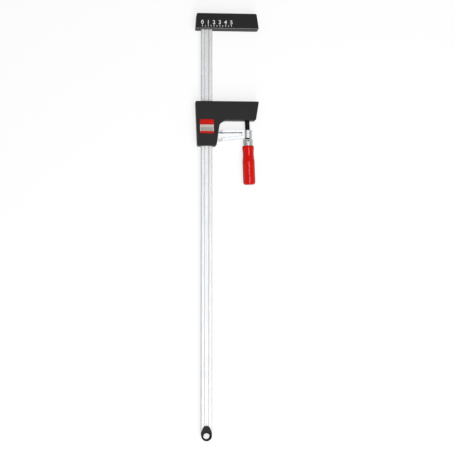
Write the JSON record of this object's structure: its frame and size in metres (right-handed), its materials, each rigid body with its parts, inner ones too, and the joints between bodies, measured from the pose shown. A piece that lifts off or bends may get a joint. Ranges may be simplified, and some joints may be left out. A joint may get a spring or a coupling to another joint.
{
  "type": "bar clamp",
  "caption": "Parallel-jaw bar clamp: moulded jaws on a hollow profiled rail, drag lever, screw spindle and turned wooden handle.",
  "frame": {"origin": "middle of the clamp's box on the surface that its back lies on", "axes": "+Y along the rail from the end cap to the fixed jaw, +X from the rail into the throat, +Z out of the front of the jaws"},
  "size_m": [0.109, 0.7342, 0.0243],
  "materials": {
    "rail_steel": "galvanised",
    "housing": "moulded, fine texture",
    "plate": "moulded, smooth",
    "red_plastic": "gloss",
    "bright_steel": "bright zinc",
    "black_steel": "black oxide",
    "spring_steel": "tempered",
    "bronze": "machined",
    "red_wood": "turned and lacquered"
  },
  "bodies": {
    "frame": {"rail": "rail_steel", "end_cap": "housing", "fixed_jaw": "housing", "fixed_jaw_plate": "plate", "jaw_pins": "spring_steel"},
    "slider": {"slide_jaw": "housing", "slide_jaw_plate": "plate", "thrust_bar": "bright_steel", "brake_spring": "spring_steel", "leg_inlay": "red_plastic"},
    "foot": {"pressure_foot": "black_steel", "foot_ring": "spring_steel"},
    "screw": {"spindle": "black_steel", "ferrule": "bright_steel", "ferrule_pin": "spring_steel", "handle": "red_wood"},
    "lever": {"drag_lever": "bright_steel", "threaded_bush": "bronze"}
  },
  "joints": [
    {"name": "jaw_slide", "type": "slide", "parent": "frame", "child": "slider", "axis": [0, 1, 0], "range_m": [-0.4797, 0.1243]},
    {"name": "lever_rock", "type": "hinge", "parent": "slider", "child": "foot", "pos_m": [0.03463, 0.2005, 0.012], "axis": [0, 0, 1], "range_deg": [-2, 0]},
    {"name": "spindle_turn", "type": "hinge", "parent": "foot", "child": "screw", "pos_m": [0.03463, 0.2005, 0.012], "axis": [-0.0349, 0.9994, 0], "range_deg": [-2160.01, 270.01]},
    {"name": "lever_travel", "type": "slide", "parent": "foot", "child": "lever", "axis": [-0.0349, 0.9994, 0], "range_m": [-0.0015, 0.012]}
  ],
  "couplings": [
    {"joint": "spindle_turn", "follows": "lever_travel", "rad_per_m": -3141.6}
  ]
}
